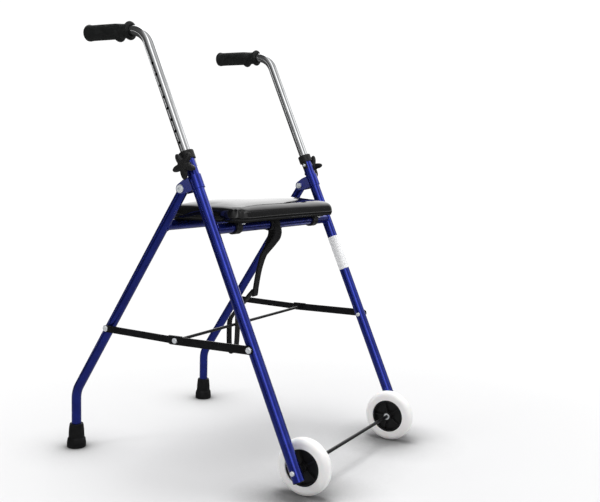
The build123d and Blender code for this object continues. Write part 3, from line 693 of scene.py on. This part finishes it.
def shape_details(cushion, middle, half, base, top):
    """Soft pleats at the four corners, and a slight valley inside the top's edge."""
    co = coordinates(cushion)
    x, y, z = co[:, 0] - middle.x, co[:, 1] - middle.y, co[:, 2]
    cx = np.sign(x) * np.maximum(np.abs(x) - (half.x - PLEAT_REACH), 0)
    cy = np.sign(y) * np.maximum(np.abs(y) - (half.y - PLEAT_REACH), 0)
    reach = np.hypot(cx, cy)
    outward = np.stack([cx, cy], axis=1) / np.maximum(reach, 1e-6)[:, None]
    at_corner = (np.abs(cx) > 1e-5) & (np.abs(cy) > 1e-5)
    turn = np.degrees(np.arctan2(np.abs(cy), np.abs(cx)))
    rise = np.clip((z - base) / (top - base), 0, 1)
    side = np.clip((reach - 0.014) / 0.012, 0, 1)
    depth = np.zeros(len(co))
    for angle, amount in PLEATS:
        depth += amount * np.exp(-((turn - angle) / PLEAT_WIDTH) ** 2)
    fade = np.clip((rise - 0.25) / 0.45, 0, 1)
    pull = np.where(at_corner, depth * fade * side, 0)
    co[:, 0] -= outward[:, 0] * pull
    co[:, 1] -= outward[:, 1] * pull
    inset = PLEAT_REACH - reach
    near_front = 0.6 + 0.4 * np.clip(-y / half.y, 0, 1)
    valley_depth, valley_in, valley_width = VALLEY
    valley = valley_depth * np.exp(-((inset - valley_in) / valley_width) ** 2) * near_front
    co[:, 2] -= np.where(rise > 0.8, valley, 0) + np.where(at_corner, 0.5 * depth * side * (rise > 0.8), 0)
    set_coordinates(cushion, co)


make_cushion()


# ---------------------------------------------------------------- strap
STRAP_T, STRAP_W = 0.0022, 0.022
STRAP_TOP_X, STRAP_DRIFT = -0.023, math.radians(3.5)
WRAP_POINTS, WRAP_PER_TURN, WRAP_START = 116, 50, -1.2
WRAP_X, WRAP_PITCH, WRAP_GROWTH = -0.039, 0.0155, 0.0011
WRAP_UNDER_BOARD, BOARD_TILTS = 0.0130, (-0.2, -0.1, 0, 0.1, 0.2)


def smooth_path(points, per_span=14):
    """A Catmull-Rom line through the points, evenly divided by span."""
    ends = [2 * points[0] - points[1], *points, 2 * points[-1] - points[-2]]
    line = []
    for a, b, c, d in zip(ends, ends[1:], ends[2:], ends[3:]):
        for i in range(per_span):
            t = i / per_span
            line.append(0.5 * (2 * b + (c - a) * t + (2 * a - 5 * b + 4 * c - d) * t * t
                               + (3 * b - a - 3 * c + d) * t ** 3))
    line.append(points[-1])
    return line


def ribbon(name, line, across_at):
    """A flat woven band along a line: rounded selvedges, UVs in metres along and across."""
    half_w, half_t = STRAP_W / 2, STRAP_T / 2
    rising = [(-half_w, 0), (-half_w * 0.965, half_t * 0.85), (-half_w * 0.85, half_t), (-half_w * 0.4, half_t * 0.94)]
    profile = rising + [(0, half_t)] + [(-a, b) for a, b in reversed(rising)]
    profile += [(a, -b) for a, b in reversed(profile[1:-1])]
    verts, lengths, run = [], [], 0.0
    for i, point in enumerate(line):
        run += (point - line[i - 1]).length if i else 0.0
        lengths.append(run)
        ahead = (line[min(i + 1, len(line) - 1)] - line[max(i - 1, 0)]).normalized()
        across = across_at(point)
        across = (across - ahead * across.dot(ahead)).normalized()
        out = ahead.cross(across)
        for a, b in profile:
            verts.append(point + across * a + out * b)
    around = len(profile)
    faces = ring_faces(len(line), around)
    faces.append(tuple(range(around)))
    faces.append(tuple(range((len(line) - 1) * around, len(line) * around)))
    made = piece(name, verts, faces, "webbing", "front_frame")
    layer = made.data.uv_layers.new(name="UVMap")
    for loop in made.data.loops:
        row, column = divmod(loop.vertex_index, around)
        layer.data[loop.index].uv = (lengths[row], profile[column][0])
    return made


def hang(y, z):
    """A point of the strap's plane, which drifts to the user's right on its way down."""
    return Vector((STRAP_TOP_X - (SEAT_TUBE.z - z) * math.tan(STRAP_DRIFT), y, z))


def both_sides(points):
    """The two layers of a doubled band: its line, moved half a thickness to the front and to the rear."""
    front, rear = [], []
    for i, (y, z) in enumerate(points):
        before, after = points[max(i - 1, 0)], points[min(i + 1, len(points) - 1)]
        run = Vector((0, after[0] - before[0], after[1] - before[1])).normalized()
        out = Vector((0, run.z, -run.y)) * (STRAP_T / 2 + 0.0001)
        front.append(hang(y, z) + out)
        rear.append(hang(y, z) - out)
    return front, rear


def wrap_turns():
    """The turns on the cross tube, pressed flat between it and the board, whichever way the board tilts."""
    y, z = SEAT_TUBE.y, SEAT_TUBE.z
    line = []
    for i in range(WRAP_POINTS):
        turned = i / WRAP_PER_TURN
        angle = 2 * math.pi * i / WRAP_PER_TURN + WRAP_START
        radius = TUBE_R + 0.0003 + STRAP_T / 2 + WRAP_GROWTH * turned
        radius = min(radius, WRAP_UNDER_BOARD / max(0.5, *(math.sin(angle + tilt) for tilt in BOARD_TILTS)))
        shift = WRAP_PITCH * turned + 0.0012 * math.sin(angle * 0.5)
        line.append(Vector((WRAP_X + shift, y + radius * math.cos(angle), z + radius * math.sin(angle))))
    return line


def make_strap():
    """Webbing: turns on the cross tube, a slack doubled band, and a loop round the brace rod."""
    y, z = SEAT_TUBE.y, SEAT_TUBE.z
    rod_y, rod_z = BRACE_MID.y, BRACE_MID.z
    slack = [(y - 0.0135, z + 0.002), (y - 0.022, z - 0.013), (y - 0.019, z - 0.030), (y - 0.008, z - 0.045)]
    tight = [(y - 0.004, z - 0.0125), (y - 0.005, z - 0.024), (y + 0.001, z - 0.048)]
    band = [(y + 0.009, z - 0.065), (y + 0.016, z - 0.077), (y + 0.0245, z - 0.110), (y + 0.030, z - 0.146),
            (y + 0.032, z - 0.167)]
    tail = [(y + 0.0345, z - 0.155), (y + 0.045, z - 0.167), (rod_y - 0.019, rod_z + 0.053),
            (rod_y - 0.003, rod_z + 0.035)]
    front = rod_y - 0.0035 - STRAP_T / 2 - 0.0006
    rear, low = front + 0.023, rod_z - 0.062
    loop = [(rear - 0.005, rod_z + 0.016), (rear, rod_z), (rear - 0.002, rod_z - 0.046), (rear - 0.006, low),
            (rear - 0.012, low - 0.006), (front + 0.004, low - 0.003), (front, rod_z - 0.044), (front, rod_z),
            (front + 0.001, rod_z + 0.018)]
    band_front, band_rear = both_sides(band)
    upper = [hang(*p) for p in slack] + band_front + band_rear[::-1] + [hang(*p) for p in reversed(tight)]
    tail_front, tail_rear = both_sides(tail)
    lower = tail_rear + [hang(*p) for p in loop] + tail_front[::-1]

    def across(point):
        """The way across the webbing: the slack part under the cross tube turns outwards."""
        turn = 0.06 - 0.5 * hump(point.z, z - 0.040, 0.034)
        return Vector((math.cos(turn), math.sin(turn), 0))

    hanging = [ribbon("strap_band", smooth_path(upper), across), ribbon("strap_loop", smooth_path(lower), across)]
    ribbon("strap_wrap", wrap_turns(), lambda point: Vector((1, 0, 0)))
    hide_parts("strap")
    for made in hanging:
        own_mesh(made)


make_strap()


# ---------------------------------------------------------------- floor, light and finish
TOWARDS_CAMERA, CAMERA_RIGHT = (-0.870, -0.4926, 0), (0.4926, -0.870, 0)
# brightness by compass direction: 0 and 1 away from the camera, 0.25 left, 0.5 towards the camera, 0.75 right
STUDIO = ((0.0, 1.6), (0.05, 1.3), (0.09, 0.06), (0.30, 0.04), (0.37, 0.08), (0.42, 0.25), (0.49, 0.55),
          (0.515, 1.6), (0.545, 1.6), (0.57, 0.55), (0.61, 0.30), (0.67, 0.40), (0.75, 0.60), (0.80, 0.45),
          (0.82, 0.14), (0.86, 0.14), (0.89, 0.8), (0.94, 1.3), (1.0, 1.6))
STUDIO_RISE = (0.12, 0.36, 1.0, 1.2)                 # the room is brighter higher up
# how bright the floor is in a mirror, from its middle out to FLOOR_SHEEN_END
FLOOR_SHEEN = ((0.0, 0.27), (0.06, 0.25), (0.11, 0.05), (0.72, 0.05), (0.92, 0.9), (1.0, 1.0))
FLOOR_SHEEN_END, FLOOR_SIZE, FLOOR_DROP = 16.0, 60, 0.0002
FLOOR_MIDDLE, FLOOR_FADE = (-0.1, -0.22, 0), (0.35, 1.35)


def grey_ramp(tree, factor, stops):
    """A ramp of greys over a factor."""
    ramp = tree.nodes.new("ShaderNodeValToRGB")
    fill_ramp(ramp, [(position, (value, value, value)) for position, value in stops])
    tree.links.new(factor, ramp.inputs[0])
    return ramp.outputs[0]


def studio_sheen(tree):
    """What polished surfaces mirror: bright walls and dark gaps of a room, by compass direction."""
    way = tree.nodes.new("ShaderNodeTexCoord").outputs["Generated"]
    parts = []
    for axis in (CAMERA_RIGHT, TOWARDS_CAMERA):
        dot = tree.nodes.new("ShaderNodeVectorMath")
        dot.operation = "DOT_PRODUCT"
        dot.inputs[1].default_value = axis
        tree.links.new(way, dot.inputs[0])
        parts.append(dot.outputs["Value"])
    angle = tree.nodes.new("ShaderNodeMath")
    angle.operation = "ARCTAN2"
    tree.links.new(parts[0], angle.inputs[0])
    tree.links.new(parts[1], angle.inputs[1])
    spread = tree.nodes.new("ShaderNodeMapRange")
    fill_range(spread, -math.pi, math.pi, 0.0, 1.0)
    tree.links.new(angle.outputs[0], spread.inputs["Value"])
    ramp = grey_ramp(tree, spread.outputs["Result"], STUDIO)
    height = tree.nodes.new("ShaderNodeSeparateXYZ")
    tree.links.new(way, height.inputs[0])
    rise = tree.nodes.new("ShaderNodeMapRange")
    rise.interpolation_type = "SMOOTHSTEP"
    fill_range(rise, *STUDIO_RISE)
    tree.links.new(height.outputs["Z"], rise.inputs["Value"])
    raised = tree.nodes.new("ShaderNodeVectorMath")
    raised.operation = "SCALE"
    tree.links.new(ramp, raised.inputs[0])
    tree.links.new(rise.outputs["Result"], raised.inputs["Scale"])
    return raised.outputs[0]


def background(tree, strength, colour=None):
    """A background shader, white unless a colour is linked to it."""
    made = tree.nodes.new("ShaderNodeBackground")
    made.inputs[0].default_value, made.inputs[1].default_value = (1, 1, 1, 1), strength
    if colour:
        tree.links.new(colour, made.inputs[0])
    return made.outputs[0]


def mixed(tree, factor, low, high):
    """One shader where the factor is 0, the other where it is 1."""
    made = tree.nodes.new("ShaderNodeMixShader")
    for socket, source in zip(made.inputs, (factor, low, high)):
        tree.links.new(source, socket)
    return made.outputs[0]


def make_world():
    """White to the eye, an even soft fill, and a studio to mirror."""
    world = bpy.data.worlds.new("surround")
    bpy.context.scene.world = world
    world.use_nodes = True
    tree = world.node_tree
    tree.nodes.clear()
    path = tree.nodes.new("ShaderNodeLightPath")
    studio = background(tree, 1.0, studio_sheen(tree))
    lit = mixed(tree, path.outputs["Is Glossy Ray"], background(tree, 0.62), studio)
    seen = mixed(tree, path.outputs["Is Camera Ray"], lit, background(tree, 1.05))
    output = tree.nodes.new("ShaderNodeOutputWorld")
    tree.links.new(seen, output.inputs[0])


def make_floor():
    """A wide pale floor with soft painted contact shadows, which runs out into the white surround: ambient occlusion
    darkens its colour and dims its glow near things, and in mirrors it glows with a brightness graded by distance
    instead of its lit colour.
    """
    look = Look("floor", Specular_IOR_Level=0.05)
    base = look.colour(look.noise(0.6, 2.0), (0.3, (0.66, 0.66, 0.665)), (0.7, (0.69, 0.69, 0.695)))
    contact = look.node("AmbientOcclusion", {"samples": 12}, Distance=0.15).outputs["AO"]
    # painted shadow: the floor's colour darkens towards dark grey where ambient occlusion finds things close by
    look.overlay(base, look.ranged(contact, 0.68, 1.0, 0.80, 0.0), (0.10, 0.10, 0.10))
    look.rough(look.noise(2.0, 2.0), 0.85, 0.95)
    tree = look.tree
    glow = tree.nodes.new("ShaderNodeEmission")
    # painted shadow: the floor's glow is dimmed near contacts by the same ambient occlusion
    tree.links.new(look.ranged(contact, 0.45, 1.0, 0.30, 1.05), glow.inputs[1])
    # in mirrors the floor glows with a brightness graded by distance instead of showing its lit colour
    dim = tree.nodes.new("ShaderNodeEmission")
    away = look.node("VectorMath", {"operation": "DISTANCE"}, i0=look.place, i1=FLOOR_MIDDLE).outputs["Value"]
    tree.links.new(grey_ramp(tree, look.ranged(away, 0.0, FLOOR_SHEEN_END, 0.0, 1.0), FLOOR_SHEEN), dim.inputs[0])
    path = tree.nodes.new("ShaderNodeLightPath")
    seen = mixed(tree, look.ranged(away, *FLOOR_FADE, 0.0, 1.0), look.shader.outputs[0], glow.outputs[0])
    tree.links.new(mixed(tree, path.outputs["Is Glossy Ray"], seen, dim.outputs[0]),
                   tree.nodes["Material Output"].inputs["Surface"])
    mesh = bpy.data.meshes.new("floor")
    corners = [(x * FLOOR_SIZE, y * FLOOR_SIZE, 0) for x, y in ((-1, -1), (1, -1), (1, 1), (-1, 1))]
    mesh.from_pydata(corners, [], [(0, 1, 2, 3)])
    mesh.materials.append(look.material)
    floor = new_object("floor", mesh)
    floor.location.z = -FLOOR_DROP


def softbox(name, place, target, size, watts, mirrored):
    """A rectangular lamp that faces a target; only a mirrored one shows in polished surfaces."""
    data = bpy.data.lights.new(name, "AREA")
    data.shape, data.size, data.size_y, data.energy = "RECTANGLE", *size, watts
    box = new_object(name, data)
    box.location = place
    box.rotation_mode = "QUATERNION"
    box.rotation_quaternion = (Vector(target) - Vector(place)).to_track_quat("-Z", "Y")
    box.visible_glossy = mirrored


def make_stage():
    """The surround, the floor, four lamps and plain colour management."""
    make_world()
    make_floor()
    softbox("overhead", (0.1, 0.1, 3.0), (0, 0, 0), (1.8, 1.8), 62, False)
    softbox("front", (0.9, -3.2, 1.7), (0, 0, 0.45), (1.6, 2.0), 24, False)
    softbox("side", (-2.4, 1.6, 1.9), (0, 0, 0.55), (0.7, 1.8), 20, False)
    softbox("window", (1.59, -1.93, 2.15), (0, 0, 0.6), (2.2, 1.0), 5, True)
    settings = bpy.context.scene.view_settings
    settings.view_transform, settings.look = "Standard", "None"


make_stage()
